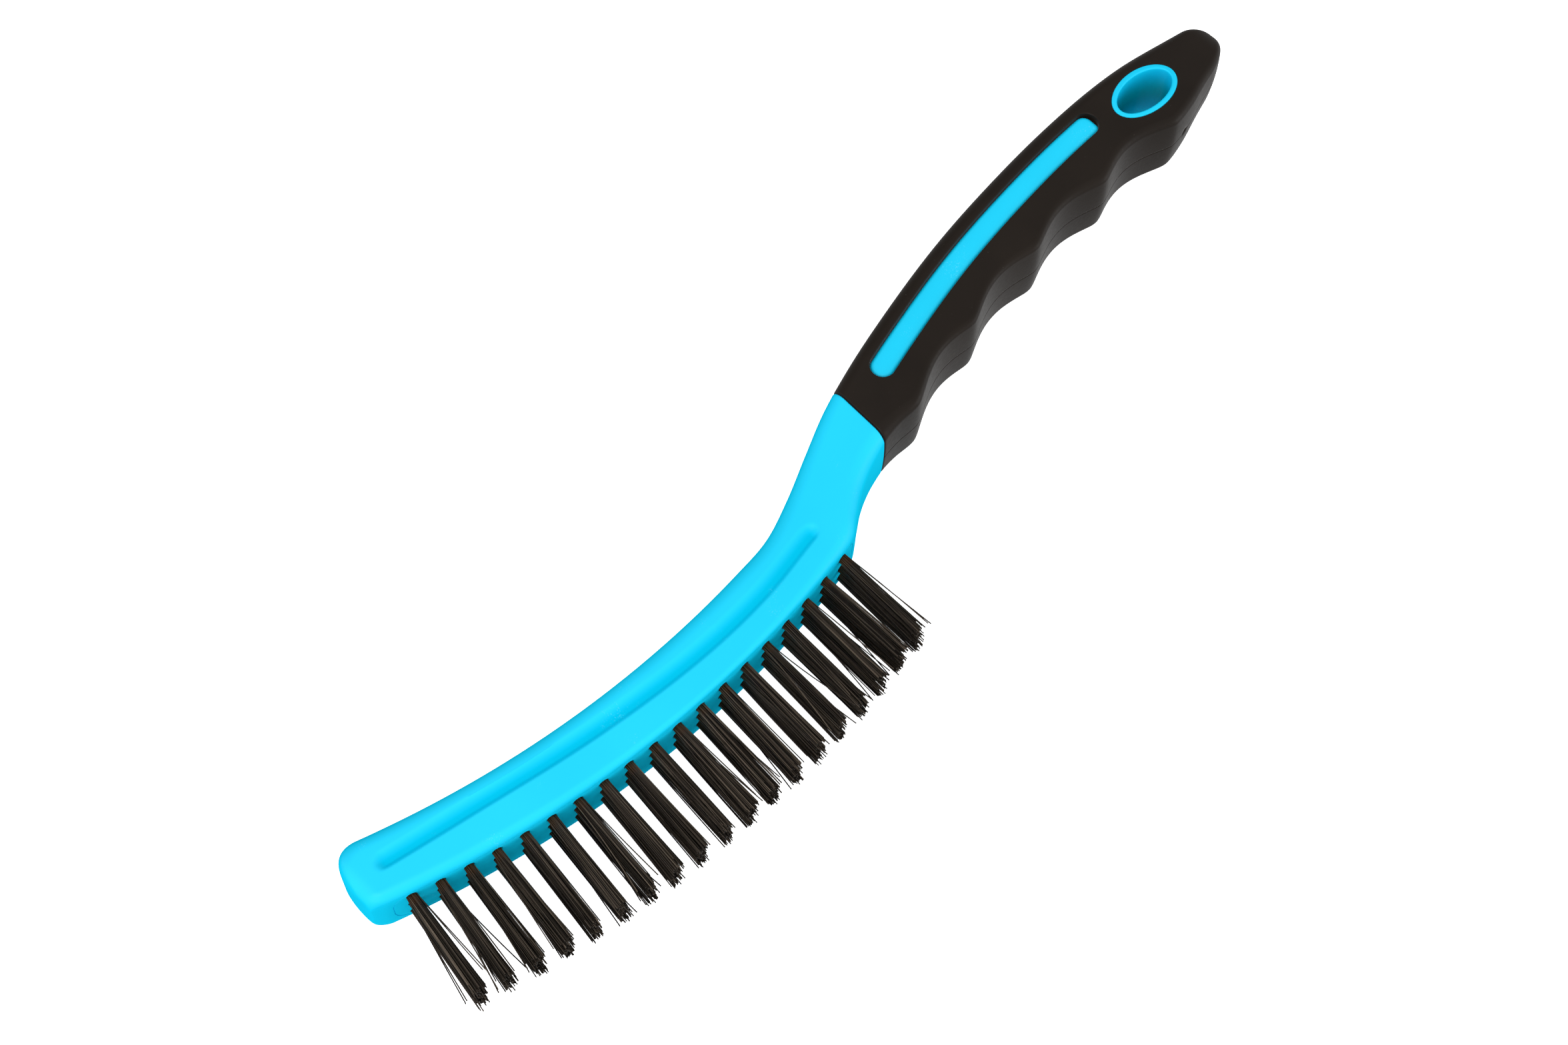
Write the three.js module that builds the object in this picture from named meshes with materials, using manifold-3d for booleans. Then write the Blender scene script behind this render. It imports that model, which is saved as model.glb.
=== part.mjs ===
// Curved-handle wire scratch brush, lying on its side.
// One moulded plastic core carries 57 wire tufts; a soft grip is moulded round the core's tang.
// The design is drawn in its own side view: x runs from the toe to the tail, y from the bristles
// towards the back edge, and z across the brush, with z = 0 on the middle plane. The whole brush
// is then moved so that its origin is the bottom centre of its bounding box.

import * as THREE from 'three';
import { mergeVertices } from 'three/addons/utils/BufferGeometryUtils.js';
import Module from 'manifold-3d';

const wasm = await Module();
wasm.setup();

// ---------------------------------------------------------------- driving dimensions, mm

const OVERALL_LENGTH = 347.4;
const GAP = 0.3;                      // clearance between pieces that touch

const FACE_RADIUS = 313;              // bristle face: convex arc, lowest at FACE_X
const FACE_X = 115.5;
const FACE_END_X = 153;               // where the face ends and the neck begins
const BACK_RADIUS = 290;              // head's back edge: concave arc, lowest at BACK_X
const BACK_X = 115.5;
const BACK_END_X = 128;
const HEAD_DEPTH = 18.35;             // face to back edge at the lowest point
const HEAD_HALF_WIDTH = 11;
const HEAD_END_X = 150;               // the neck starts to widen here
const GRIP_HALF_WIDTH = 13;
const GRIP_FLAT_START_X = 200;        // the grip keeps its full width between these
const GRIP_FLAT_END_X = 300;

// Heights and half-width at the very ends, and the length over which each one rounds off.
const TOE = { top: 27.6, bottom: 24, topLength: 10, bottomLength: 4.5, half: 7.5, halfLength: 4 };
const TAIL = { top: 37, bottom: 33.5, topLength: 6.5, bottomLength: 11, half: 5, halfLength: 6 };

const COLLAR_X = 184;                 // where the soft grip starts, at COLLAR_Y
const COLLAR_Y = 26;
const COLLAR_TILT = 0.06;             // lean of the collar plane, radians

const BUMP_FIRST_X = 197;             // finger bumps under the grip
const BUMP_PITCH = 29.5;
const BUMP_COUNT = 5;
const BUMP_SOFTNESS = 0.22;           // 0 gives sharp bumps
const GROOVE_DEPTHS = [3.3, 2.9, 3, 3.7];
const DEEPEST_GROOVE = Math.max(...GROOVE_DEPTHS);

const ROWS = 3;
const COLUMNS = 19;
const ROW_PITCH = 5.6;
const COLUMN_PITCH = 8;               // along the bristle face
const FIRST_COLUMN_X = 9.9;
const FAN_FIRST = -10.5;              // lean of the first and last tufts, degrees
const FAN_LAST = -2;
const TRIM_FIRST = 30;                // visible wire length of the first and last tufts
const TRIM_LAST = 28.6;
const TUFT_ROOT_RADIUS = 1.45;
const TUFT_TIP_RADIUS = 1.7;
const TUFT_SIDES = 8;
const ANCHOR = { overhang: 0.1, height: 1.8, thickness: 0.4, aboveSeat: 2.2 };
const HOLE_DEPTH = 10;

const SLOT_INSET = 8.8;               // slot centre line below the back edge
const SLOT_HALF_WIDTH = 3.5;
const SLOT_START_X = 199;
const SLOT_END_X = 295;
const RIB_RECESS = 1;                 // slot rib face below the grip's side
const RIB_OVERRUN = 0.5;              // the rib's square end, past the slot's end centre

const EYELET = { x: 315.8, y: 35.8, tilt: -0.05, holeA: 10, holeB: 5.2, wall: 1.6 };
const EYELET_SEGMENTS = 36;

const TANG_START_X = 177;             // the core's tongue inside the grip
const TANG_END_X = 337;
const TANG_INSET_BACK = 3;
const TANG_INSET_SIDE = 2.6;
const TANG_INSET_BELLY = 2.4;         // below the deepest finger groove
const TANG_CORNER = 2;
const TANG_END_SIZE = 0.55;           // the tongue's end, as a share of its full section
const TANG_END_LENGTH = 8;

const CHANNEL_WIDTH = 6;              // shallow channel on both sides of the head
const CHANNEL_DEPTH = 1;
const CHANNEL_START_X = 11;
const CHANNEL_END_X = 148;

const BODY_CORNER_STEPS = 3;          // facets round each long edge
const TANG_CORNER_STEPS = 1;
const ACROSS = 4 * GRIP_HALF_WIDTH;   // a cut of this length passes right through the brush

// ---------------------------------------------------------------- outline of the side view

/** A smooth curve y(x) through the given points. */
function smooth(points) {
  const xs = points.map((p) => p[0]);
  const ys = points.map((p) => p[1]);
  const spline = new THREE.CubicInterpolant(xs, ys, 1, new Float64Array(1));
  return (x) => spline.evaluate(THREE.MathUtils.clamp(x, xs[0], xs[xs.length - 1]))[0];
}

/** Height above the lowest point of a circular arc of radius r centred over x0. */
function arcRise(x, x0, r) {
  return r - Math.sqrt(r * r - (x - x0) ** 2);
}

function faceArc(x) {
  return arcRise(x, FACE_X, FACE_RADIUS);
}

function backArc(x) {
  return HEAD_DEPTH + arcRise(x, BACK_X, BACK_RADIUS);
}

const neckAndGripBack = smooth([
  [BACK_END_X - 12, backArc(BACK_END_X - 12)], [BACK_END_X, backArc(BACK_END_X)],
  [141, 19.65], [153, 23.5], [166, 28.9], [178, 33.7], [190, 37.2], [206, 40.9],
  [236, 46.1], [262, 48.4], [290, 49], [318, 47.1], [335, 44.1], [348, 41.2],
]);

const neckAndGripBelly = smooth([
  [FACE_END_X - 10, faceArc(FACE_END_X - 10)], [FACE_END_X, faceArc(FACE_END_X)],
  [158, 3.4], [163, 6.6], [169, 10.35], [175, 13], [180, 14.5], [185, 15.6], [190, 15.9],
  [BUMP_FIRST_X, 15.55], [226.5, 20.9], [256, 23.6], [285.5, 23.95], [315, 21.75],
  [322, 22.7], [332, 25.3], [340, 27.1], [348, 28.6],
]);

/** Depth of the finger grooves at x: round scallops that meet in softened bumps. */
function fingerGroove(x) {
  const turns = (x - BUMP_FIRST_X) / BUMP_PITCH;
  if (turns <= 0 || turns >= BUMP_COUNT - 1) return 0;
  const wave = Math.hypot(Math.sin(Math.PI * turns), BUMP_SOFTNESS) - BUMP_SOFTNESS;
  return GROOVE_DEPTHS[Math.floor(turns)] * wave / (Math.hypot(1, BUMP_SOFTNESS) - BUMP_SOFTNESS);
}

/** 0 at an end of the brush, rising along a quarter ellipse to 1 a length further in. */
function endRound(distance, length) {
  if (distance >= length) return 1;
  return Math.sqrt(1 - (1 - distance / length) ** 2);
}

/** Pulls a height or half-width towards its end value near the toe and the tail. */
function roundOff(value, x, key) {
  const toe = endRound(x, TOE[key + 'Length']);
  const tail = endRound(OVERALL_LENGTH - x, TAIL[key + 'Length']);
  return TOE[key] + (TAIL[key] + (value - TAIL[key]) * tail - TOE[key]) * toe;
}

function backEdge(x) {
  const y = x < BACK_END_X ? backArc(x) : neckAndGripBack(x);
  return roundOff(y, x, 'top');
}

function bellyEnvelope(x) {
  return x < FACE_END_X ? faceArc(x) : neckAndGripBelly(x);
}

function bellyEdge(x) {
  return roundOff(bellyEnvelope(x) + fingerGroove(x), x, 'bottom');
}

const neckHalfWidth = smooth([
  [HEAD_END_X - 10, HEAD_HALF_WIDTH], [HEAD_END_X, HEAD_HALF_WIDTH], [170, 11.7], [186, 12.7],
  [GRIP_FLAT_START_X, GRIP_HALF_WIDTH], [GRIP_FLAT_START_X + 10, GRIP_HALF_WIDTH],
]);

const tailHalfWidth = smooth([
  [GRIP_FLAT_END_X - 10, GRIP_HALF_WIDTH], [GRIP_FLAT_END_X, GRIP_HALF_WIDTH],
  [314, 12.4], [326, 11], [338, 9.3], [348, 8],
]);

function halfWidth(x) {
  if (x < HEAD_END_X) return roundOff(HEAD_HALF_WIDTH, x, 'half');
  if (x < GRIP_FLAT_START_X) return neckHalfWidth(x);
  if (x < GRIP_FLAT_END_X) return GRIP_HALF_WIDTH;
  return roundOff(tailHalfWidth(x), x, 'half');
}

// Radius of the long edges on the back and on the belly, and how far those two sides are crowned.
const backRadius = smooth([[0, 2.2], [20, 2.6], [150, 2.6], [184, 3.4], [300, 3.6], [335, 3], [348, 1.8]]);
const bellyRadius = smooth([[0, 2], [20, 2], [150, 2], [184, 4], [300, 4.2], [335, 3.4], [348, 1.8]]);
const crown = smooth([[0, 0], [150, 0], [165, 0.15], [184, 0.3], [335, 0.4], [348, 0.3]]);

// ---------------------------------------------------------------- solids

/** Turns a closed three.js geometry into a manifold solid. */
function solid(geometry) {
  const bare = geometry.clone();
  bare.deleteAttribute('normal');
  bare.deleteAttribute('uv');
  const merged = mergeVertices(bare, 1e-4);
  return new wasm.Manifold(new wasm.Mesh({
    numProp: 3,
    vertProperties: new Float32Array(merged.attributes.position.array),
    triVerts: new Uint32Array(merged.index.array),
  }));
}

function geometryOf(manifold) {
  const mesh = manifold.getMesh();
  const geometry = new THREE.BufferGeometry();
  geometry.setAttribute('position', new THREE.BufferAttribute(mesh.vertProperties, 3));
  geometry.setIndex(new THREE.BufferAttribute(mesh.triVerts, 1));
  geometry.computeVertexNormals();
  return geometry;
}

/** One cross-section ring [y, z]: a box with rounded corners and slightly crowned edges. */
function sectionRing({ top, bottom, half, topRadius, bottomRadius, bulge, cornerSteps }) {
  const largest = Math.min(half, (top - bottom) / 2) * 0.98;
  const rTop = Math.min(topRadius, largest);
  const rBottom = Math.min(bottomRadius, largest);
  const side = [];
  for (let i = 0; i <= cornerSteps; i++) {
    const a = (Math.PI / 2) * (i / cornerSteps);
    side.push([bottom + bulge + rBottom * (1 - Math.cos(a)), half - rBottom * (1 - Math.sin(a))]);
  }
  for (let i = 0; i <= cornerSteps; i++) {
    const a = (Math.PI / 2) * (i / cornerSteps);
    side.push([top - bulge - rTop * (1 - Math.sin(a)), half - rTop * (1 - Math.cos(a))]);
  }
  const mirrored = side.map(([y, z]) => [y, -z]).reverse();
  return [[bottom, 0], ...side, [top, 0], ...mirrored];
}

/** Closed skin over the section rings at the given stations. */
function loft(stations, ringAt) {
  const rings = stations.map(ringAt);
  const n = rings[0].length;
  const positions = [];
  stations.forEach((x, i) => rings[i].forEach(([y, z]) => positions.push(x, y, z)));
  const index = [];
  for (let i = 0; i < stations.length - 1; i++) {
    for (let j = 0; j < n; j++) {
      const a = i * n + j;
      const d = i * n + (j + 1) % n;
      index.push(a, a + n, d + n, a, d + n, d);
    }
  }
  const last = (stations.length - 1) * n;
  for (let j = 1; j < n - 1; j++) {
    index.push(0, j, j + 1);
    index.push(last, last + j + 1, last + j);
  }
  const geometry = new THREE.BufferGeometry();
  geometry.setAttribute('position', new THREE.Float32BufferAttribute(positions, 3));
  geometry.setIndex(index);
  return geometry;
}

function evenly(from, to, count) {
  return Array.from({ length: count + 1 }, (_, i) => from + (to - from) * i / count);
}

/** Stations are close together where the outline turns quickly. */
function bodyStations() {
  const toe = evenly(0, Math.PI / 2, 5).map((a) => 6 * (1 - Math.cos(a)));
  const tail = toe.map((d) => OVERALL_LENGTH - d).reverse();
  return [
    ...toe,
    ...evenly(15, 141, 12),
    ...evenly(148, 192, 12),
    ...evenly(BUMP_FIRST_X, BUMP_FIRST_X + BUMP_PITCH * (BUMP_COUNT - 1), 7 * (BUMP_COUNT - 1)),
    ...evenly(319, 333, 3),
    ...tail,
  ];
}

/** The outer skin of head, neck and grip in one, grown or shrunk by an amount. */
function outerBody(grow = 0) {
  return solid(loft(bodyStations(), (x) => sectionRing({
    top: backEdge(x) + grow,
    bottom: bellyEdge(x) - grow,
    half: halfWidth(x) + grow,
    topRadius: backRadius(x),
    bottomRadius: bellyRadius(x),
    bulge: crown(x),
    cornerSteps: BODY_CORNER_STEPS,
  })));
}

/** The core's tongue inside the grip. */
function tang(grow = 0) {
  const stations = [TANG_START_X - grow, ...evenly(185, 325, 18), 331, 335, TANG_END_X + grow];
  return solid(loft(stations, (x) => {
    const end = TANG_END_SIZE + (1 - TANG_END_SIZE) * endRound(TANG_END_X + grow - x, TANG_END_LENGTH);
    const top = backEdge(x) - TANG_INSET_BACK;
    const bottom = bellyEnvelope(x) + DEEPEST_GROOVE + TANG_INSET_BELLY;
    const middle = (top + bottom) / 2;
    return sectionRing({
      top: middle + (top - middle) * end + grow,
      bottom: middle + (bottom - middle) * end - grow,
      half: (halfWidth(x) - TANG_INSET_SIDE) * end + grow,
      topRadius: TANG_CORNER,
      bottomRadius: TANG_CORNER,
      bulge: 0,
      cornerSteps: TANG_CORNER_STEPS,
    });
  }));
}

/** Everything on the toe side or the tail side of the collar plane. */
function collarBlock(tailSide, offset) {
  const size = 2 * OVERALL_LENGTH;
  const block = new THREE.BoxGeometry(size, size, size);
  block.translate(tailSide ? size / 2 : -size / 2, 0, 0);
  block.rotateZ(-COLLAR_TILT);
  block.translate(COLLAR_X + offset, COLLAR_Y, 0);
  return solid(block);
}

/** A prism across the whole width with the given side outline. */
function acrossWidth(shape, curveSegments = 8) {
  const geometry = new THREE.ExtrudeGeometry(shape, {
    depth: ACROSS, bevelEnabled: false, curveSegments,
  });
  geometry.translate(0, 0, -ACROSS / 2);
  return solid(geometry);
}

/** Outline of a band that follows the back edge, round at the start and round or square at the end. */
function slotShape(halfBand, endX, roundEnd) {
  const centre = (x) => new THREE.Vector2(x, backEdge(x) - SLOT_INSET);
  const normal = (x) => {
    const along = centre(x + 0.5).sub(centre(x - 0.5)).normalize();
    return new THREE.Vector2(-along.y, along.x);
  };
  const xs = evenly(SLOT_START_X, endX, 14);
  const edge = (sign) => xs.map((x) => centre(x).addScaledVector(normal(x), sign * halfBand));
  const cap = (x, from) => evenly(from, from + Math.PI, 8).slice(1, -1).map((a) => {
    const spoke = normal(x).rotateAround(new THREE.Vector2(), a);
    return centre(x).addScaledVector(spoke, halfBand);
  });
  return new THREE.Shape([
    ...edge(-1),
    ...(roundEnd ? cap(endX, Math.PI) : []),
    ...edge(1).reverse(),
    ...cap(SLOT_START_X, 0),
  ]);
}

function eyeletShape(extra) {
  const shape = new THREE.Shape();
  const { x, y, tilt, holeA, holeB } = EYELET;
  shape.absellipse(x, y, holeA + extra, holeB + extra, 0, 2 * Math.PI, false, tilt);
  return shape;
}

// ---------------------------------------------------------------- tufts

/** A value that changes evenly from the first column of tufts to the last. */
function alongHead(first, last, column) {
  return THREE.MathUtils.lerp(first, last, column / (COLUMNS - 1));
}

/** Where a tuft stands on the bristle face, and which way its tips point. */
function tuftPlace(row, column) {
  const first = Math.asin((FIRST_COLUMN_X - FACE_X) / FACE_RADIUS);
  const around = first + column * COLUMN_PITCH / FACE_RADIUS;
  const lean = THREE.MathUtils.degToRad(alongHead(FAN_FIRST, FAN_LAST, column));
  return {
    position: new THREE.Vector3(
      FACE_X + FACE_RADIUS * Math.sin(around),
      FACE_RADIUS * (1 - Math.cos(around)),
      (row - (ROWS - 1) / 2) * ROW_PITCH,
    ),
    rotation: new THREE.Euler(0, 0, lean),
  };
}

/** A wire bundle folded round its flat steel anchor: y = 0 on the face, tips towards -y. */
function tuftGeometry(trim) {
  const seat = HOLE_DEPTH - GAP;
  const profile = [
    [0, -trim - 0.5], [TUFT_TIP_RADIUS, -trim + 0.8], [TUFT_ROOT_RADIUS, 0],
    [TUFT_ROOT_RADIUS, seat], [0, seat],
  ].map(([r, y]) => new THREE.Vector2(r, y));
  const bundle = new THREE.LatheGeometry(profile, TUFT_SIDES);
  const width = 2 * (TUFT_ROOT_RADIUS + ANCHOR.overhang);
  const anchor = new THREE.BoxGeometry(width, ANCHOR.height, ANCHOR.thickness);
  anchor.translate(0, seat - ANCHOR.aboveSeat, 0);
  return geometryOf(solid(bundle).add(solid(anchor)));
}

/** The blind hole that holds one tuft. */
function tuftHole(row, column) {
  const above = 4;
  const radius = TUFT_ROOT_RADIUS + GAP;
  const hole = new THREE.CylinderGeometry(radius, radius, HOLE_DEPTH + above, TUFT_SIDES);
  hole.translate(0, (HOLE_DEPTH - above) / 2, 0);
  const { position, rotation } = tuftPlace(row, column);
  hole.applyMatrix4(new THREE.Matrix4().makeRotationFromEuler(rotation).setPosition(position));
  return solid(hole);
}

// ---------------------------------------------------------------- core and grip

const channelCentre = smooth([
  [CHANNEL_START_X, 28.6], [32, 23.6], [73, 14.4], [105, 10.1], [128, 9.7], [CHANNEL_END_X, 11.9],
]);

/** The shallow round-bottomed channel on one side of the head. */
function sideChannel(sign) {
  const radius = (CHANNEL_WIDTH ** 2 / 4 + CHANNEL_DEPTH ** 2) / (2 * CHANNEL_DEPTH);
  const z = sign * (HEAD_HALF_WIDTH + radius - CHANNEL_DEPTH);
  const points = evenly(CHANNEL_START_X, CHANNEL_END_X, 10)
    .map((x) => new THREE.Vector3(x, channelCentre(x), z));
  const section = new THREE.Shape();
  section.absarc(0, 0, radius, 0, 2 * Math.PI);
  const tube = new THREE.ExtrudeGeometry(section, {
    steps: 14, curveSegments: 10, extrudePath: new THREE.CatmullRomCurve3(points),
  });
  const ball = (p) => {
    const sphere = new THREE.IcosahedronGeometry(radius, 2);
    sphere.translate(p.x, p.y, p.z);
    return solid(sphere);
  };
  return solid(tube).add(ball(points[0])).add(ball(points[points.length - 1]));
}

/** Head, neck, tang, slot ribs and eyelet sleeve: one moulding. */
function handleCore() {
  const eyeletBoss = acrossWidth(eyeletShape(EYELET.wall), EYELET_SEGMENTS).intersect(outerBody());
  const ribs = acrossWidth(slotShape(SLOT_HALF_WIDTH, SLOT_END_X + RIB_OVERRUN, false))
    .intersect(outerBody(-RIB_RECESS));
  let core = outerBody()
    .intersect(collarBlock(false, 0))
    .add(tang())
    .add(ribs)
    .add(eyeletBoss)
    .subtract(acrossWidth(eyeletShape(0), EYELET_SEGMENTS))
    .subtract(sideChannel(1))
    .subtract(sideChannel(-1));
  for (let row = 0; row < ROWS; row++) {
    for (let column = 0; column < COLUMNS; column++) {
      core = core.subtract(tuftHole(row, column));
    }
  }
  return geometryOf(core);
}

/** The soft grip: the outer skin behind the collar, open at the slots and round the eyelet. */
function grip() {
  const shell = outerBody()
    .intersect(collarBlock(true, GAP))
    .subtract(tang(GAP))
    .subtract(acrossWidth(slotShape(SLOT_HALF_WIDTH + GAP, SLOT_END_X, true)))
    .subtract(acrossWidth(eyeletShape(EYELET.wall + GAP), EYELET_SEGMENTS));
  return geometryOf(shell);
}

// ---------------------------------------------------------------- assembly

const cyanPlastic = new THREE.MeshStandardMaterial({ color: 0x12c8f0, roughness: 0.45, metalness: 0 });
const softBlack = new THREE.MeshStandardMaterial({ color: 0x2a2622, roughness: 0.75, metalness: 0 });
const darkSteel = new THREE.MeshStandardMaterial({ color: 0x3a352f, roughness: 0.4, metalness: 0.9 });

function named(name, geometry, material) {
  const mesh = new THREE.Mesh(geometry, material);
  mesh.name = name;
  return mesh;
}

const brush = new THREE.Group();
brush.add(named('handle_core', handleCore(), cyanPlastic));
brush.add(named('grip', grip(), softBlack));

for (let column = 0; column < COLUMNS; column++) {
  const tuft = tuftGeometry(alongHead(TRIM_FIRST, TRIM_LAST, column));
  const number = String(column + 1).padStart(2, '0');
  for (let row = 0; row < ROWS; row++) {
    const mesh = named(`tuft_r${row + 1}_c${number}`, tuft, darkSteel);
    const { position, rotation } = tuftPlace(row, column);
    mesh.position.copy(position);
    mesh.rotation.copy(rotation);
    brush.add(mesh);
  }
}

const bounds = new THREE.Box3().setFromObject(brush);
const centre = bounds.getCenter(new THREE.Vector3());
brush.position.set(-centre.x, -centre.y, -bounds.min.z);
brush.updateMatrixWorld(true);

export default brush;
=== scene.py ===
"""Looks of a curved-handle wire scratch brush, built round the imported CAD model.

The outline functions follow the CAD part's, in its design coordinates and millimetres: x runs from
the toe to the tail, y from the bristles towards the back edge, z across the brush with 0 in the
middle. to_row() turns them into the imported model's frame, in metres.
"""

import math

import bmesh
import bpy
import numpy as np
from mathutils import Matrix, Vector


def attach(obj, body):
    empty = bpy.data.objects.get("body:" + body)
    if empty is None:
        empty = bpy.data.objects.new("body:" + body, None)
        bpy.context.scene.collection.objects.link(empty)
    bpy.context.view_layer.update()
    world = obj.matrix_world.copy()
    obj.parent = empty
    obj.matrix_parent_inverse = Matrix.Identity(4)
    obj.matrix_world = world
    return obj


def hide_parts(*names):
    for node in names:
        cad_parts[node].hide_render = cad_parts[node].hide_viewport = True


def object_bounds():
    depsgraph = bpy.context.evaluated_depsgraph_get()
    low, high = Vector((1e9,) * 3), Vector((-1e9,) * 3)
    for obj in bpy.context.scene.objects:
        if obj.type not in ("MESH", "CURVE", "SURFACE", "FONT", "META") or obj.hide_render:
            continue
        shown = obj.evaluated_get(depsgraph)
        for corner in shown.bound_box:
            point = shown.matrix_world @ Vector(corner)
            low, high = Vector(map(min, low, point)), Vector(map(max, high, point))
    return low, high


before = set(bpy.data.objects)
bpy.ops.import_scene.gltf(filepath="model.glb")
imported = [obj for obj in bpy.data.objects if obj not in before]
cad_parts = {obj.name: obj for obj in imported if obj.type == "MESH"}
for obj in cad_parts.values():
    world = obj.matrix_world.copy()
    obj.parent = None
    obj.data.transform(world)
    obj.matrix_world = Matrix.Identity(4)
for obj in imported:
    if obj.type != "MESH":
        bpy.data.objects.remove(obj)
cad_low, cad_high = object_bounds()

MM = 0.001

# ------------------------------------------------------------------ design dimensions, mm

OVERALL_LENGTH = (cad_high.x - cad_low.x) / MM
GAP = 0.3
RING_STEP = 0.62
END_FINE = 11
SHARP_ANGLE = 38
NEARLY = 0.001
FACE_RADIUS, FACE_X, FACE_END_X = 313, 115.5, 153
BACK_RADIUS, BACK_X, BACK_END_X = 290, 115.5, 128
HEAD_DEPTH, HEAD_HALF_WIDTH, HEAD_END_X = 18.35, 11, 150
GRIP_HALF_WIDTH = (cad_high.z - cad_low.z) / MM / 2
GRIP_FLAT_START_X, GRIP_FLAT_END_X = 200, 300

# The rounded ends: where each edge starts, and the length over which it reaches its own curve.
TOE = {
    "top": 28, "bottom": 23.2, "half": 7.2,
    "top_length": 10, "bottom_length": 4.4, "half_length": 4.2,
}
TAIL = {
    "top": 37, "bottom": 33.5, "half": 5,
    "top_length": 6.5, "bottom_length": 11, "half_length": 6,
}

COLLAR_X, COLLAR_Y, COLLAR_SLOPE, COLLAR_EDGE, COLLAR_REACH = 184, 26, 0.06, 0.4, 12
BUMP_FIRST_X, BUMP_PITCH, BUMP_SOFTNESS = 197, 29.5, 0.22
GROOVE_DEPTHS = np.array([3.3, 2.9, 3, 3.7])
ROWS, COLUMNS, ROW_PITCH, COLUMN_PITCH = 3, 19, 5.6, 8
FIRST_COLUMN_X, FAN_FIRST, FAN_LAST = 9.9, -10.5, -2
TRIM_FIRST, TRIM_LAST = 30, 28.6
TUFT_ROOT_RADIUS, HOLE_DEPTH, HOLE_PLAY = 1.45, 10, 0.04
SLOT_INSET, SLOT_HALF_WIDTH, SLOT_START_X, SLOT_END_X = 8.8, 3.5, 199, 295
SLOT_PLAY, LEDGE_PLAY, LEDGE_DEPTH = 0.15, 0.12, 2
RIB_END_X, RIB_BELLY_CORNER, RIB_BACK_CORNER = 297.8, 1.6, 3
RIB_RECESS, RIB_EDGE = 0.85, 1.3
EYELET_X, EYELET_Y, EYELET_TILT = 315.7, 35.6, -0.05
EYELET_A, EYELET_B, EYELET_WALL, EYELET_PLAY = 10.1, 5.4, 1.6, 0.1
SLEEVE_PROUD, SLEEVE_EDGE = 0.05, 0.25
CHANNEL_START_X, CHANNEL_END_X, CHANNEL_HALF_WIDTH, CHANNEL_DEPTH = 10.6, 149.5, 2.9, 1.15
CHANNEL_WALL_SHARE, CHANNEL_SOFT_SHARE, CHANNEL_END_RAMP = 0.3, 0.45, 2.8
TANG_START_X, TANG_END_X = 177, 337
TANG_BACK_COVER, TANG_BELLY_COVER, TANG_SIDE_COVER, TANG_CORNER = 3, 2.4, 2.6, 2
TANG_END_SIZE, TANG_END_LENGTH = 0.55, 8
INSERT_START_X, INSERT_END_X, INSERT_HALF_WIDTH = 5, 156.8, 7.8
INSERT_TOE_CORNER, INSERT_NECK_CORNER = 6, 3
INSERT_LINE_WIDTH, INSERT_LINE_DEPTH = 0.22, 0.2
PARTING_LINE_DEPTH, PARTING_LINE_WIDTH = 0.2, 0.13
NOTCH_X, NOTCH_DEPTH, NOTCH_REACH = 320, 1.5, 0.8

# ------------------------------------------------------------------ outline of the side view


def smooth(points):
    """A smooth curve y(x) through the given points, interpolated as the CAD part does."""
    xs, ys = np.array(points, float).T
    last = len(xs) - 1

    def curve(x):
        x = np.clip(np.asarray(x, float), xs[0], xs[-1])
        i = np.clip(np.searchsorted(xs, x, side="right"), 1, last)
        before = np.where(i >= 2, i - 2, i)
        after = np.where(i < last, np.minimum(i + 1, last), i - 1)
        span = xs[i] - xs[i - 1]
        p = (x - xs[i - 1]) / span
        w0 = span / 2 / (xs[i - 1] - xs[before])
        w1 = span / 2 / (xs[after] - xs[i])
        p2, p3 = p * p, p * p * p
        return (
            ys[before] * (-w0 * p3 + 2 * w0 * p2 - w0 * p)
            + ys[i - 1] * ((1 + w0) * p3 + (-1.5 - 2 * w0) * p2 + (-0.5 + w0) * p + 1)
            + ys[i] * ((-1 - w1) * p3 + (1.5 + w1) * p2 + 0.5 * p)
            + ys[after] * (w1 * p3 - w1 * p2)
        )

    return curve


def arc_rise(x, middle, radius):
    """Height above its lowest point of an arc that is lowest at the middle."""
    return radius - np.sqrt(np.maximum(radius * radius - (x - middle) ** 2, 0))


def face_arc(x):
    return arc_rise(x, FACE_X, FACE_RADIUS)


def back_arc(x):
    return HEAD_DEPTH + arc_rise(x, BACK_X, BACK_RADIUS)


neck_and_grip_back = smooth([
    (BACK_END_X - 12, back_arc(BACK_END_X - 12)), (BACK_END_X, back_arc(BACK_END_X)),
    (141, 19.65), (153, 23.5), (166, 28.9), (178, 33.7), (190, 37.2), (206, 40.9),
    (236, 46.1), (262, 48.4), (290, 49), (318, 47.1), (335, 44.1), (348, 41.2),
])
neck_and_grip_belly = smooth([
    (FACE_END_X - 10, face_arc(FACE_END_X - 10)), (FACE_END_X, face_arc(FACE_END_X)),
    (158, 3.4), (163, 6.6), (169, 10.35), (175, 13), (180, 14.5), (185, 15.6), (190, 15.9),
    (BUMP_FIRST_X, 15.55), (226.5, 20.9), (256, 23.6), (285.5, 23.95), (315, 21.75),
    (322, 22.7), (332, 25.3), (340, 27.1), (348, 28.6),
])
neck_half_width = smooth([
    (HEAD_END_X - 10, HEAD_HALF_WIDTH), (HEAD_END_X, HEAD_HALF_WIDTH), (170, 11.7), (186, 12.7),
    (GRIP_FLAT_START_X, GRIP_HALF_WIDTH), (GRIP_FLAT_START_X + 10, GRIP_HALF_WIDTH),
])
tail_half_width = smooth([
    (GRIP_FLAT_END_X - 10, GRIP_HALF_WIDTH), (GRIP_FLAT_END_X, GRIP_HALF_WIDTH),
    (314, 12.4), (326, 11), (338, 9.3), (348, 8),
])
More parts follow.
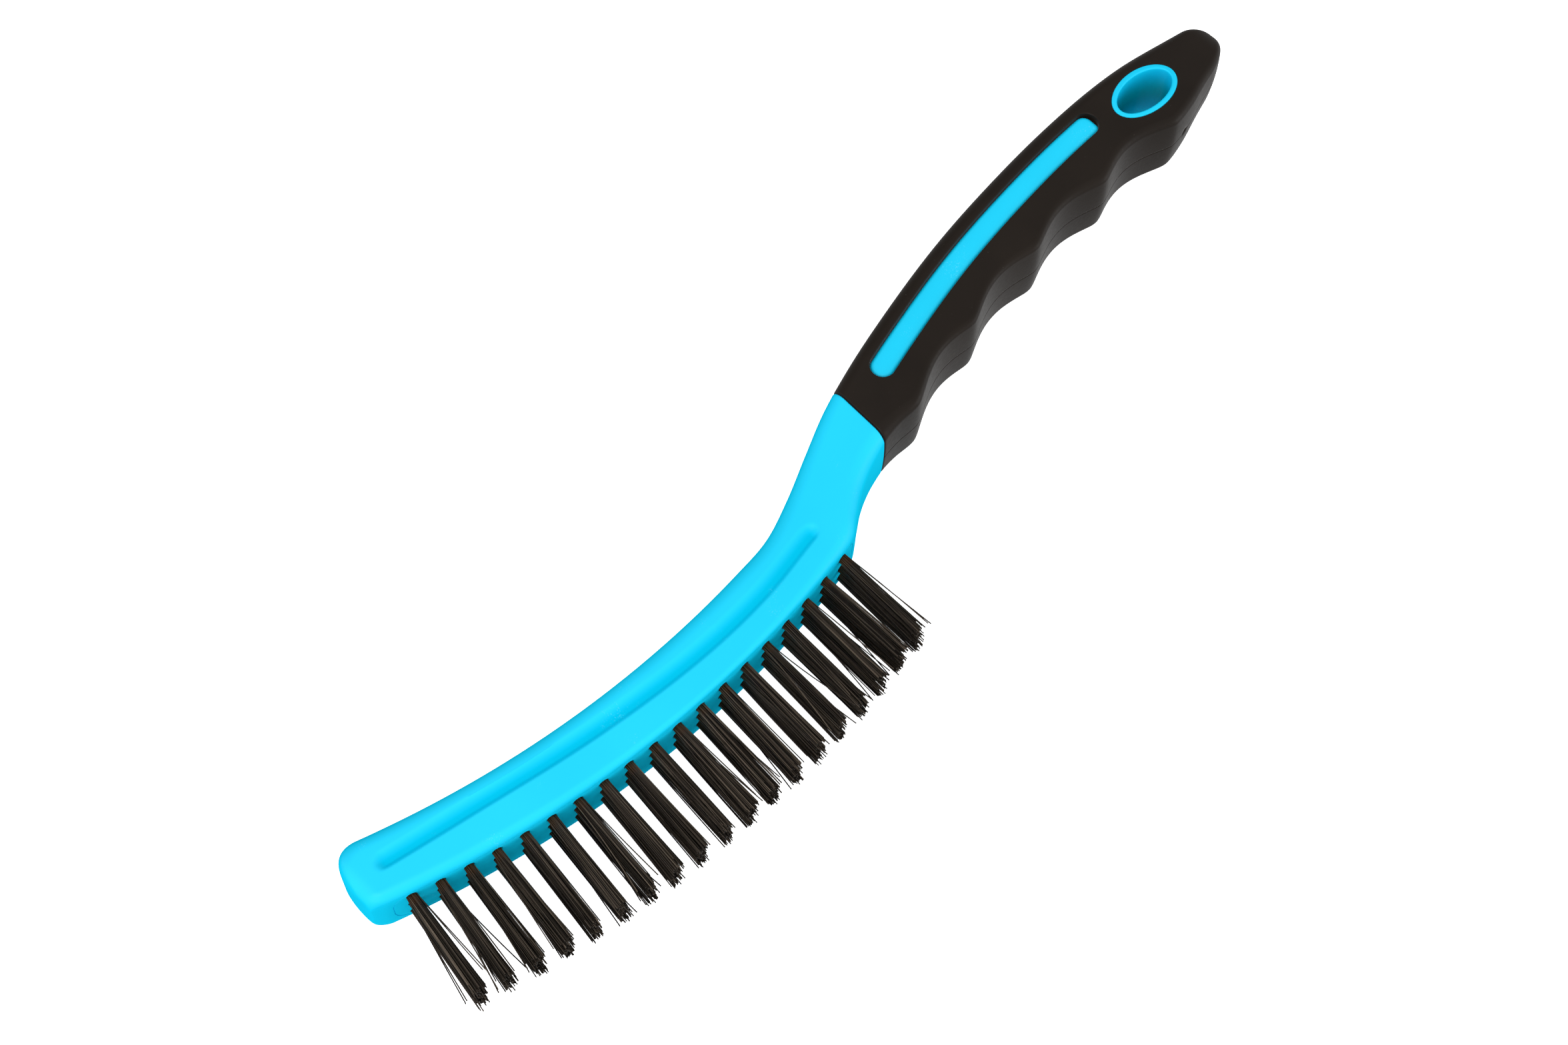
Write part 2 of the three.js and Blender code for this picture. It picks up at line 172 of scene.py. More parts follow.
channel_centre = smooth([
    (11, 28.6), (32, 23.6), (73, 14.4), (105, 10.1), (128, 9.7), (148, 11.9),
])
back_radius = smooth([
    (0, 4.6), (8, 4.6), (20, 4.4), (150, 4.4), (184, 3.8), (300, 3.6), (335, 3), (348, 1.8),
])
belly_radius = smooth([
    (0, 3.2), (8, 3.2), (20, 3), (150, 3), (166, 5.4), (178, 4.8), (194, 2.8),
    (300, 2.4), (335, 2.2), (348, 1.8),
])
crown = smooth([(0, 0), (150, 0), (165, 0.15), (184, 0.3), (335, 0.4), (348, 0.3)])


def finger_groove(x):
    """Depth of the round scallops that meet in softened bumps."""
    turns = (np.asarray(x, float) - BUMP_FIRST_X) / BUMP_PITCH
    inside = (turns > 0) & (turns < len(GROOVE_DEPTHS))
    depth = GROOVE_DEPTHS[np.clip(np.floor(turns).astype(int), 0, len(GROOVE_DEPTHS) - 1)]
    wave = np.hypot(np.sin(np.pi * turns), BUMP_SOFTNESS) - BUMP_SOFTNESS
    return np.where(inside, depth * wave / (math.hypot(1, BUMP_SOFTNESS) - BUMP_SOFTNESS), 0)


def end_round(distance, length):
    """Rises from 0 to 1 as a quarter of an ellipse, over the given length."""
    share = np.clip(np.asarray(distance, float) / length, 0, 1)
    return np.sqrt(1 - (1 - share) ** 2)


def round_off(value, x, key):
    """Draws an edge in towards its start values at the toe and the tail."""
    toe = end_round(x, TOE[key + "_length"])
    tail = end_round(OVERALL_LENGTH - x, TAIL[key + "_length"])
    return TOE[key] + (TAIL[key] + (value - TAIL[key]) * tail - TOE[key]) * toe


def back_edge(x):
    return round_off(np.where(x < BACK_END_X, back_arc(x), neck_and_grip_back(x)), x, "top")


def belly_envelope(x):
    """The belly without its finger grooves."""
    return np.where(x < FACE_END_X, face_arc(x), neck_and_grip_belly(x))


def belly_edge(x):
    return round_off(belly_envelope(x) + finger_groove(x), x, "bottom")


def half_width(x):
    flat = np.where(x < GRIP_FLAT_START_X, neck_half_width(x), tail_half_width(x))
    flat = np.where(x < HEAD_END_X, HEAD_HALF_WIDTH, flat)
    return round_off(flat, x, "half")


ORIGIN = np.array([
    cad_low.x / MM,
    cad_high.y / MM - float(back_edge(np.linspace(200, 340, 1401)).max()),
    GRIP_HALF_WIDTH,
])


def to_row(points):
    """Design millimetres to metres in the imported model's frame."""
    return (np.asarray(points, float) + ORIGIN) * MM


# ------------------------------------------------------------------ mesh helpers


def mesh_points(obj):
    """An object's points in design millimetres."""
    flat = np.empty(len(obj.data.vertices) * 3)
    obj.data.vertices.foreach_get("co", flat)
    return flat.reshape(-1, 3) / MM - ORIGIN


def add_attribute(obj, name, values):
    attribute = obj.data.attributes.new(name, "FLOAT", "POINT")
    attribute.data.foreach_set("value", np.asarray(values, np.float32))


def mesh_object(name, points, faces, materials):
    mesh = bpy.data.meshes.new(name)
    mesh.from_pydata(to_row(points).tolist(), [], faces)
    for material in materials:
        mesh.materials.append(material)
    obj = bpy.data.objects.new(name, mesh)
    bpy.context.scene.collection.objects.link(obj)
    return obj


def face_out(obj):
    """Turns every face of a closed mesh outwards."""
    bm = bmesh.new()
    bm.from_mesh(obj.data)
    bmesh.ops.recalc_face_normals(bm, faces=bm.faces)
    bm.to_mesh(obj.data)
    bm.free()


def strip_cap(around):
    """Quads across a long closed ring, from its first point to its last."""
    return [[k, k + 1, around - 2 - k, around - 1 - k] for k in range(around // 2 - 1)]


def grid_faces(rings, around, strips=False):
    """Quads between neighbouring rings, and a cap at each end: one face, or strips across."""
    i, j = np.meshgrid(np.arange(rings - 1), np.arange(around), indexing="ij")
    a, d = i * around + j, i * around + (j + 1) % around
    quads = np.stack([a, a + around, d + around, d], -1).reshape(-1, 4).tolist()
    last = (rings - 1) * around
    if strips:
        cap = strip_cap(around)
        return quads + cap + [[v + last for v in face] for face in cap]
    return quads + [list(range(around)), list(range(last + around - 1, last - 1, -1))]


def loft(name, rings, materials, strips=False):
    """A closed mesh through rings, an array (stations, points around, 3)."""
    obj = mesh_object(name, rings.reshape(-1, 3), grid_faces(*rings.shape[:2], strips), materials)
    face_out(obj)
    return obj


def combine(target, tool, operation):
    """Joins target with tool or cuts it by tool, and removes tool."""
    modifier = target.modifiers.new("combine", "BOOLEAN")
    modifier.operation = operation
    modifier.solver = "MANIFOLD"
    modifier.object = tool
    bpy.context.view_layer.update()
    evaluated = target.evaluated_get(bpy.context.evaluated_depsgraph_get())
    mesh = bpy.data.meshes.new_from_object(evaluated)
    target.modifiers.clear()
    old = target.data
    target.data = mesh
    bpy.data.meshes.remove(old)
    bpy.data.objects.remove(tool)


def smooth_shade(obj, degrees):
    """Smooth shading, with a crease wherever the faces turn by more than the given angle."""
    obj.data.shade_smooth()
    obj.data.set_sharp_from_angle(angle=math.radians(degrees))


def soft_step(x, start, end):
    """Rises smoothly from 0 to 1 between start and end."""
    t = np.clip((np.asarray(x, float) - start) / (end - start), 0, 1)
    return t * t * (3 - 2 * t)


# ------------------------------------------------------------------ the body's skin

CORNER_POINTS = 12
SIDE_POINTS = 60
CROWDING, CROWD_WIDTH = 3, 0.17
FLAT_SHARES = [0, 0.008, 0.018, 0.032, 0.06, 0.14, 0.26, 0.4, 0.55, 0.7, 0.85]
BELLY, BELLY_CORNER, SIDE, BACK_CORNER, BACK = range(5)


def full_section():
    """What every point round a cross-section lies on, how far along it, and on which side."""
    corner = np.arange(CORNER_POINTS) / CORNER_POINTS
    near = (
        [(BELLY, t) for t in FLAT_SHARES]
        + [(BELLY_CORNER, t) for t in corner]
        + [(SIDE, t) for t in np.arange(SIDE_POINTS) / SIDE_POINTS]
        + [(BACK_CORNER, t) for t in corner]
        + [(BACK, 1)]
        + [(BACK, t) for t in reversed(FLAT_SHARES)]
    )
    both = [(kind, t, 1) for kind, t in near] + [(kind, t, -1) for kind, t in reversed(near[1:-1])]
    kinds, shares, signs = zip(*both)
    return np.array(kinds), np.array(shares, float), np.array(signs)


KIND, SHARE, SIGN = full_section()


def side_shares(x, low, high):
    """Shares of the side's height, closer together where the channel runs."""
    share = np.linspace(0, 1, 240)
    made = np.empty(x.shape)
    for i in range(len(x)):
        station = x[i, 0]
        fine = CROWDING * soft_step(station, 4, 12) * (1 - soft_step(station, 150, 170))
        middle = (channel_centre(station) - low[i, 0]) / (high[i, 0] - low[i, 0])
        crowd = share + fine * CROWD_WIDTH * np.tanh((share - middle) / CROWD_WIDTH)
        crowd = (crowd - crowd[0]) / (crowd[-1] - crowd[0])
        made[i] = np.interp(SHARE, crowd, share)
    return made


def skin_points(x):
    """Points of the skin: x is an array (stations, points around)."""
    top, bottom, half = back_edge(x), belly_edge(x), half_width(x)
    largest = np.minimum(half, (top - bottom) / 2) * 0.98
    r_top = np.minimum(back_radius(x), largest)
    r_bottom = np.minimum(belly_radius(x), largest)
    bulge = crown(x)
    angle = SHARE * math.pi / 2
    side_low, side_high = bottom + bulge + r_bottom, top - bulge - r_top
    on = [KIND == BELLY, KIND == BELLY_CORNER, KIND == SIDE, KIND == BACK_CORNER]
    y = np.select(on, [
        bottom + bulge * SHARE**2,
        side_low - r_bottom * np.cos(angle),
        side_low + side_shares(x, side_low, side_high) * (side_high - side_low),
        side_high + r_top * np.sin(angle),
    ], top - bulge * SHARE**2)
    z = np.select(on, [
        SHARE * (half - r_bottom),
        half - r_bottom * (1 - np.sin(angle)),
        half,
        half - r_top * (1 - np.cos(angle)),
    ], SHARE * (half - r_top))
    return np.stack([x, y, z * SIGN], -1)


def skin(stations):
    """Rings of the skin. Near the collar they lean, so that one of them lies in the collar's plane."""
    x = np.repeat(np.asarray(stations, float)[:, None], len(KIND), 1)
    lean = COLLAR_SLOPE * np.exp(-(((x - COLLAR_X) / COLLAR_REACH) ** 2))
    return skin_points(x + lean * (skin_points(x)[..., 1] - COLLAR_Y))


def stations(start, end, step, start_fine=0, end_fine=0, fine_steps=24):
    """Places of rings between two ends, closer together along a rounded end of the given length."""
    ease = 1 - np.cos(np.linspace(0, math.pi / 2, fine_steps))
    first = start + start_fine * ease if start_fine else np.array([start])
    final = end - end_fine * ease[::-1] if end_fine else np.array([end])
    count = int(round((final[0] - first[-1]) / step))
    return np.concatenate([first[:-1], np.linspace(first[-1], final[0], count + 1), final[1:]])


def rounded_rings(ring, radius, direction, steps=5):
    """Rings that round the edge of a flat end. direction is +1 at a tail end and -1 at a toe end."""
    middle = ring.mean(0)
    size = np.abs(ring - middle).max(0)
    made = []
    for a in np.linspace(0, math.pi / 2, steps)[1:]:
        scale = 1 - radius * (1 - math.cos(a)) / size
        scale[0] = 1
        moved = middle + (ring - middle) * scale
        moved[:, 0] += direction * radius * math.sin(a)
        made.append(moved)
    return np.array(made)


def channel_share(points):
    """Share of the channel's depth: gentle on its back side, with a crisp wall on its belly side."""
    xs = np.linspace(CHANNEL_START_X, CHANNEL_END_X, 280)
    line = np.stack([xs, channel_centre(xs)], -1)
    along = np.gradient(line, axis=0)
    along /= np.linalg.norm(along, axis=1, keepdims=True)
    flat = points[..., :2].reshape(-1, 2)
    nearest = np.empty(len(flat), int)
    for start in range(0, len(flat), 4096):
        block = flat[start:start + 4096]
        nearest[start:start + 4096] = np.linalg.norm(block[:, None] - line[None], axis=2).argmin(1)
    offset = flat - line[nearest]
    side = offset[:, 1] * along[nearest, 0] - offset[:, 0] * along[nearest, 1]
    beyond = np.abs((offset * along[nearest]).sum(1))
    inside = np.minimum(xs[nearest] - CHANNEL_START_X, CHANNEL_END_X - xs[nearest])
    from_end = np.where(inside > 0, inside, -beyond)
    share = np.clip(0.5 + side / (2 * CHANNEL_HALF_WIDTH), 0, 1)
    profile = soft_step(share, 0, CHANNEL_WALL_SHARE) * (1 - soft_step(share, CHANNEL_SOFT_SHARE, 1))
    reach = np.sqrt(np.maximum(CHANNEL_HALF_WIDTH**2 - side**2, 0)) + from_end
    return (profile * soft_step(reach, 0, CHANNEL_END_RAMP)).reshape(points.shape[:-1])


def add_channel(points):
    """Presses the channel into both sides of the skin."""
    on_side = KIND == SIDE
    points[:, on_side, 2] -= CHANNEL_DEPTH * channel_share(points[:, on_side]) * SIGN[on_side]


def add_parting_line(points):
    """The fine groove where the mould's halves met, along the middle of the belly."""
    near_middle = np.exp(-((points[..., 2] / PARTING_LINE_WIDTH) ** 2))
    points[..., 1] += PARTING_LINE_DEPTH * near_middle * (KIND == BELLY)


def add_notch(points):
    """The small nick in the grip's belly under the eyelet."""
    along = ((points[..., 0] - NOTCH_X) / NOTCH_REACH) ** 2
    across = (points[..., 2] / NOTCH_REACH) ** 2
    points[..., 1] += NOTCH_DEPTH * np.exp(-along - across) * (KIND == BELLY)


# ------------------------------------------------------------------ cutters across the width


def outline_prism(name, sections):
    """A closed prism across the brush. sections gives (depth below the side, outline) pairs."""
    upper = [
        np.column_stack([points, half_width(points[:, 0]) - depth]) for depth, points in sections
    ]
    lower = [ring * [1, 1, -1] for ring in reversed(upper)]
    return loft(name, np.array(upper + lower), [], strips=True)


def slot_middle(x):
    return np.column_stack([x, back_edge(x) - SLOT_INSET])


def slot_normal(x):
    """Unit normals of the slot's middle line, towards the back edge."""
    along = slot_middle(x + 0.5) - slot_middle(x - 0.5)
    along /= np.linalg.norm(along, axis=1, keepdims=True)
    return np.column_stack([-along[:, 1], along[:, 0]])


def slot_cap(x, half_band, first_corner, second_corner, outward_sign, steps=10):
    """Points round an end of the slot, from side to side, with a radius for each corner."""
    x = np.array([float(x)])
    across = slot_normal(x)[0] * -outward_sign
    outward = np.array([-across[1], across[0]])
    rising = np.linspace(0, math.pi / 2, steps)
    made = []
    for side, corner, angles in ((1, first_corner, rising), (-1, second_corner, rising[::-1])):
        for a in angles:
            sideways = half_band - corner * (1 - math.cos(a))
            forward = corner * (math.sin(a) - 1)
            made.append(side * across * sideways + outward * (half_band + forward))
    return slot_middle(x)[0] + np.array(made)


def slot_outline(half_band, end_x, belly_corner, back_corner, steps=90):
    """Points round the band that follows the back edge. Only its tail end takes the corner radii."""
    xs = np.linspace(SLOT_START_X, end_x, steps)
    lower = slot_middle(xs) - half_band * slot_normal(xs)
    upper = slot_middle(xs) + half_band * slot_normal(xs)
    round_end = half_band - NEARLY
    tail_cap = slot_cap(end_x, half_band, belly_corner, back_corner, 1)
    toe_cap = slot_cap(SLOT_START_X, half_band, round_end, round_end, -1)
    half = len(toe_cap) // 2
    return np.vstack([toe_cap[half:], lower[1:-1], tail_cap, upper[::-1][1:-1], toe_cap[:half]])


def slot_window(offset):
    """The opening in the grip, round at both ends."""
    half_band = SLOT_HALF_WIDTH + SLOT_PLAY + offset
    round_end = half_band - NEARLY
    return slot_outline(half_band, SLOT_END_X, round_end, round_end)


def rib_outline(offset):
    """The rib stops nearly square, short of the window's round end."""
    half_band = SLOT_HALF_WIDTH + offset
    end_x = RIB_END_X - SLOT_HALF_WIDTH
    return slot_outline(half_band, end_x, RIB_BELLY_CORNER + offset, RIB_BACK_CORNER + offset)


def eyelet_outline(offset, steps=96):
    """The oval opening, grown by the given offset."""
    a = np.linspace(0, 2 * math.pi, steps, endpoint=False)
    u, v = (EYELET_A + offset) * np.cos(a), (EYELET_B + offset) * np.sin(a)
    c, s = math.cos(EYELET_TILT), math.sin(EYELET_TILT)
    return np.column_stack([EYELET_X + u * c - v * s, EYELET_Y + u * s + v * c])


def eyelet_seat(offset):
    """The room that the grip leaves for the eyelet's sleeve."""
    return eyelet_outline(EYELET_WALL + EYELET_PLAY + offset)


def rim(outline, radius, over=1.5, steps=5):
    """Sections that round the rim of an opening: wide above the side, true below it."""
    angles = np.linspace(0, math.pi / 2, steps)
    round_part = [(radius * (1 - math.cos(a)), outline(radius * (1 - math.sin(a)))) for a in angles]
    return [(-over, outline(radius))] + round_part


def rounded_edge(outline, radius, steps):
    """Sections of a solid whose edge is rounded: drawn in at the side, true below it."""
    angles = np.linspace(0, math.pi / 2, steps)
    return [(radius * (1 - math.cos(a)), outline(-radius * (1 - math.sin(a)))) for a in angles]


# ------------------------------------------------------------------ tufts


def along_head(first, last, column):
    """A value that changes evenly from the first column to the last."""
    return first + (last - first) * column / (COLUMNS - 1)


def tuft_place(row, column):
    """The middle of a tuft's hole on the bristle face, and its lean in radians."""
    around = math.asin((FIRST_COLUMN_X - FACE_X) / FACE_RADIUS) + column * COLUMN_PITCH / FACE_RADIUS
    lean = math.radians(along_head(FAN_FIRST, FAN_LAST, column))
    x = FACE_X + FACE_RADIUS * math.sin(around)
    y = FACE_RADIUS * (1 - math.cos(around))
    return np.array([x, y, (row - (ROWS - 1) / 2) * ROW_PITCH]), lean


def tuft_to_design(points, place, lean):
    """From a tuft's own axes (y up into the hole) to design coordinates."""
    c, s = math.cos(lean), math.sin(lean)
    x, y, z = points[..., 0], points[..., 1], points[..., 2]
    return np.stack([x * c - y * s, x * s + y * c, z], -1) + place


def tuft_holes(sides=20):
    """One cutter for all the holes, each a little wider at its mouth."""
    radius = TUFT_ROOT_RADIUS + HOLE_PLAY
    mouth = radius + 0.1
    profile = ((-3, mouth), (0.02, mouth), (0.2, radius), (HOLE_DEPTH, radius))
    angles = np.linspace(0, 2 * math.pi, sides, endpoint=False)
    rings = np.array([
        np.column_stack([r * np.cos(angles), np.full(sides, y), r * np.sin(angles)]) for y, r in profile
    ])
    points, faces = [], []
    for row in range(ROWS):
        for column in range(COLUMNS):
            start = len(points) * rings.shape[0] * sides
            points.append(tuft_to_design(rings, *tuft_place(row, column)).reshape(-1, 3))
            faces += [[v + start for v in face] for face in grid_faces(len(profile), sides)]
    holes = mesh_object("holes", np.concatenate(points), faces, [])
    face_out(holes)
    return holes


# ------------------------------------------------------------------ insert line


def insert_path(corner_steps=12, side_steps=90):
    """Points (x, z) round the tufts, where the mould's insert met the rest of the mould."""
    corners = []
    for x_sign, z_sign, start in ((1, 1, 0), (-1, 1, 90), (-1, -1, 180), (1, -1, 270)):
        radius = INSERT_NECK_CORNER if x_sign > 0 else INSERT_TOE_CORNER
        x = INSERT_END_X - radius if x_sign > 0 else INSERT_START_X + radius
        z = z_sign * (INSERT_HALF_WIDTH - radius)
        angles = np.radians(start + np.linspace(0, 90, corner_steps))
        corners.append(np.column_stack([x + radius * np.cos(angles), z + radius * np.sin(angles)]))
    path = []
    for corner, following in zip(corners, corners[1:] + corners[:1]):
        path.append(corner)
        path.append(np.linspace(corner[-1], following[0], side_steps)[1:-1])
    return np.vstack(path)


def insert_groove():
    """Cutter for the insert line, a closed loop of rectangular section that follows the belly."""
    path = insert_path()
    along = np.roll(path, -1, 0) - np.roll(path, 1, 0)
    across = np.column_stack([-along[:, 1], along[:, 0]]) / np.linalg.norm(along, axis=1)[:, None]
    radius = belly_radius(path[:, 0])
    round_start = half_width(path[:, 0]) - radius
    past_flat = np.maximum(np.abs(path[:, 1]) - round_start, 0)
    face = belly_edge(path[:, 0]) + radius - np.sqrt(radius**2 - past_flat**2)
    rings = []
    deep = INSERT_LINE_DEPTH
    for side, height in ((-0.5, -1), (0.5, -1), (0.5, deep), (-0.5, deep)):
        x, z = (path + side * INSERT_LINE_WIDTH * across).T
        rings.append(np.column_stack([x, face + height, z]))
    count = len(path)
    i, j = np.meshgrid(np.arange(count), np.arange(4), indexing="ij")
    following, beside = (i + 1) % count, (j + 1) % 4
    quads = np.stack([i * 4 + j, following * 4 + j, following * 4 + beside, i * 4 + beside], -1)
    points = np.stack(rings, 1).reshape(-1, 3)
    groove = mesh_object("insert_line", points, quads.reshape(-1, 4).tolist(), [])
    face_out(groove)
    return groove


# ------------------------------------------------------------------ materials


LOW_TO_HIGH = ("From Min", "From Max", "To Min", "To Max")


class Material:
    """A Principled material and the node helpers that the finishes share."""

    def __init__(self, name, **values):
        self.material = bpy.data.materials.new(name)
        self.material.use_nodes = True
        self.tree = self.material.node_tree
        self.shader = self.tree.nodes["Principled BSDF"]
        for socket, value in values.items():
            self.shader.inputs[socket.replace("_", " ")].default_value = value
        self.coordinates = self.node("ShaderNodeTexCoord").outputs["Object"]

    def node(self, kind, **values):
        made = self.tree.nodes.new(kind)
        for socket, value in values.items():
            made.inputs[socket].default_value = value
        return made

    def link(self, a, b):
        self.tree.links.new(a, b)

    def noise(self, scale, detail=3, roughness=0.55, stretch=(1, 1, 1)):
        vector = self.coordinates
        if stretch != (1, 1, 1):
            mapping = self.node("ShaderNodeMapping", Scale=stretch)
            self.link(vector, mapping.inputs["Vector"])
            vector = mapping.outputs["Vector"]
        noise = self.node("ShaderNodeTexNoise", Scale=scale, Detail=detail, Roughness=roughness)
        self.link(vector, noise.inputs["Vector"])
        return noise.outputs["Fac"]

    def spread(self, value, *numbers):
        """Maps the first two numbers to the last two, and clamps."""
        ranged = self.node("ShaderNodeMapRange")
        for socket, number in zip(LOW_TO_HIGH, numbers):
            ranged.inputs[socket].default_value = number
        self.link(value, ranged.inputs["Value"])
        return ranged.outputs["Result"]

    def math(self, operation, a, b):
        made = self.node("ShaderNodeMath")
        made.operation = operation
        for socket, value in zip(made.inputs, (a, b)):
            if isinstance(value, (int, float)):
                socket.default_value = value
            else:
                self.link(value, socket)
        return made.outputs[0]

    def mix(self, amount, a, b):
        """Blends two colours."""
        made = self.node("ShaderNodeMix")
        made.data_type = "RGBA"
        self.link(amount, made.inputs["Factor"])
        for name, value in (("A", a), ("B", b)):
            socket = [s for s in made.inputs if s.name == name and s.type == "RGBA"][0]
            if isinstance(value, tuple):
                socket.default_value = value
            else:
                self.link(value, socket)
        return [s for s in made.outputs if s.type == "RGBA"][0]

    def bump(self, height, strength, distance, under=None):
        made = self.node("ShaderNodeBump", Strength=strength, Distance=distance)
        self.link(height, made.inputs["Height"])
        if under is not None:
            self.link(under, made.inputs["Normal"])
        return made.outputs["Normal"]

    def attribute(self, name):
        made = self.node("ShaderNodeAttribute")
        made.attribute_name = name
        return made.outputs["Fac"]


def cyan_plastic():
    """Satin moulded plastic, with faint scuffs, and painted shade that darkens the channel and the
    eyelet's wall.
    """
    m = Material("cyan_plastic", Specular_IOR_Level=0.15, IOR=1.49)
    cloud = m.spread(m.noise(28, detail=2), 0.3, 0.7, 0, 1)
    colour = m.mix(cloud, (0.004, 0.535, 0.80, 1), (0.006, 0.565, 0.84, 1))
    # painted shade: a darker base colour in the channel, standing in for the shade in its recess
    colour = m.mix(m.spread(m.attribute("painted_channel_shade"), 0, 1, 0, 1), colour, (0.0, 0.48, 0.72, 1))
    # painted shade: darker teal down the eyelet's wall, deeper below the rim
    colour = m.mix(m.spread(m.attribute("painted_bore_shade"), 0, 1, 0, 1), colour, (0.0, 0.40, 0.48, 1))
    scuff_place = m.spread(m.noise(90, detail=3), 0.60, 0.70, 0, 1)
    speckle = m.spread(m.noise(2200, detail=3), 0.58, 0.66, 0, 1)
    scuffs = m.math("MULTIPLY", m.math("MULTIPLY", scuff_place, speckle), 0.22)
    m.link(m.mix(scuffs, colour, (0.2, 0.75, 1, 1)), m.shader.inputs["Base Color"])
    base_roughness = m.spread(m.noise(1400, detail=3), 0.3, 0.7, 0.40, 0.50)
    m.link(m.math("ADD", base_roughness, scuffs), m.shader.inputs["Roughness"])
    flow = m.bump(m.noise(160, detail=2), 0.12, 0.0004)
    fine = m.bump(m.noise(3200, detail=3), 0.10, 0.00006, flow)
    m.link(fine, m.shader.inputs["Normal"])
    turned_away = m.node("ShaderNodeLayerWeight", Blend=0.5).outputs["Facing"]
    gloss = m.spread(turned_away, 0.2, 0.6, 0.2, 0)
    # where the channel's painted shade lies, most of the gloss is also taken away
    in_the_open = m.spread(m.attribute("painted_channel_shade"), 0, 1, 1, 0.1)
    m.link(m.math("MULTIPLY", gloss, in_the_open), m.shader.inputs["Specular IOR Level"])
    return m.material


def soft_rubber():
    """Black overmould, with fine pores and a little dust."""
    m = Material(
        "soft_black_rubber",
        Specular_IOR_Level=0.14, IOR=1.5, Sheen_Weight=0.2, Sheen_Roughness=0.35,
    )
    cloud = m.spread(m.noise(45, detail=3), 0.3, 0.7, 0, 1)
    colour = m.mix(cloud, (0.0070, 0.0040, 0.0020, 1), (0.0100, 0.0062, 0.0036, 1))
    dust = m.spread(m.noise(1500, detail=2), 0.735, 0.80, 0, 0.4)
    m.link(m.mix(dust, colour, (0.10, 0.095, 0.085, 1)), m.shader.inputs["Base Color"])
    m.link(m.spread(m.noise(900, detail=3), 0.3, 0.7, 0.38, 0.50), m.shader.inputs["Roughness"])
    waves = m.bump(m.noise(220, detail=2), 0.02, 0.0004)
    pores = m.bump(m.noise(4200, detail=2, roughness=0.6), 0.10, 0.00004, waves)
    m.link(pores, m.shader.inputs["Normal"])
    return m.material


def wire_steel():
    """Dark drawn wire, each in its own tone and browner at its root."""
    m = Material("dark_wire_steel", Metallic=0.9, Specular_IOR_Level=0.4)
    grey = m.mix(m.attribute("tone"), (0.010, 0.008, 0.006, 1), (0.21, 0.165, 0.125, 1))
    root = m.spread(m.attribute("along"), 0.0, 0.12, 1, 0)
    brown = m.mix(root, grey, (0.13, 0.05, 0.016, 1))
    streak = m.spread(m.noise(700, detail=3, stretch=(1, 0.08, 1)), 0.35, 0.65, 0, 0.4)
    m.link(m.mix(streak, brown, (0.020, 0.017, 0.014, 1)), m.shader.inputs["Base Color"])
    m.link(m.spread(m.noise(2500, detail=2), 0.3, 0.7, 0.28, 0.42), m.shader.inputs["Roughness"])
    m.link(m.bump(m.noise(6000, detail=2, stretch=(1, 0.2, 1)), 0.2, 0.00003), m.shader.inputs["Normal"])
    return m.material


def cut_steel():
    """The brighter cut ends of the wires."""
    m = Material("cut_wire_end", Metallic=1.0)
    grain = m.spread(m.noise(7000, detail=2), 0.3, 0.7, 0, 1)
    m.link(m.mix(grain, (0.10, 0.09, 0.08, 1), (0.45, 0.42, 0.38, 1)), m.shader.inputs["Base Color"])
    m.link(m.spread(m.noise(5000, detail=2), 0.3, 0.7, 0.3, 0.5), m.shader.inputs["Roughness"])
    return m.material


# ------------------------------------------------------------------ handle core


def head_and_neck():
    points = skin(stations(0, COLLAR_X - COLLAR_EDGE, RING_STEP, start_fine=END_FINE))
    add_channel(points)
    end = rounded_rings(points[-1], COLLAR_EDGE, 1)
    return loft("handle_core_moulding", np.concatenate([points, end]), [cyan])


def tang(grow, name):
    """The tongue inside the grip, or with some growth the room for it."""
    end_x = TANG_END_X + grow
    x = np.concatenate([[TANG_START_X - grow], np.linspace(185, 325, 60), np.linspace(326.5, end_x, 14)])
    top = back_edge(x) - TANG_BACK_COVER
    bottom = belly_envelope(x) + GROOVE_DEPTHS.max() + TANG_BELLY_COVER
    size = TANG_END_SIZE + (1 - TANG_END_SIZE) * end_round(end_x - x, TANG_END_LENGTH)
    middle = (top + bottom) / 2
    high = middle + (top - middle) * size + grow
    low = middle + (bottom - middle) * size - grow
    half = (half_width(x) - TANG_SIDE_COVER) * size + grow
    r = TANG_CORNER
    rings = []
    for k in range(len(x)):
        ring = []
        for side, upward, start in ((1, -1, -90), (1, 1, 0), (-1, 1, 90), (-1, -1, 180)):
            corner_y = low[k] + r if upward < 0 else high[k] - r
            corner_z = side * (half[k] - r)
            for a in np.radians(start + np.linspace(0, 90, 6)):
                ring.append([x[k], corner_y + r * math.sin(a), corner_z + r * math.cos(a)])
        rings.append(ring)
    return loft(name, np.array(rings), [])


def slot_ribs():
    """A bar right through the tongue, whose ends show as the ribs in the grip's windows."""
    sections = rounded_edge(rib_outline, RIB_EDGE, 7)
    return outline_prism("ribs", [(RIB_RECESS + depth, outline) for depth, outline in sections])


def eyelet_sleeve():
    sections = rounded_edge(lambda offset: eyelet_outline(EYELET_WALL + offset), SLEEVE_EDGE, 4)
    return outline_prism("sleeve", [(depth - SLEEVE_PROUD, outline) for depth, outline in sections])


# Depths below the rim where the eyelet's painted shade starts and where it is full.
BORE_SHADE_START, BORE_SHADE_END = 1.5, 11


def eye():
    """Cutter for the eyelet's opening, with rings down its wall that carry the painted shade inside the
    opening.
    """
    down_the_wall = [(depth, eyelet_outline(0)) for depth in (BORE_SHADE_START, 3, 5, 7, 9, BORE_SHADE_END)]
    return outline_prism("eye", rim(eyelet_outline, 0.45) + down_the_wall)


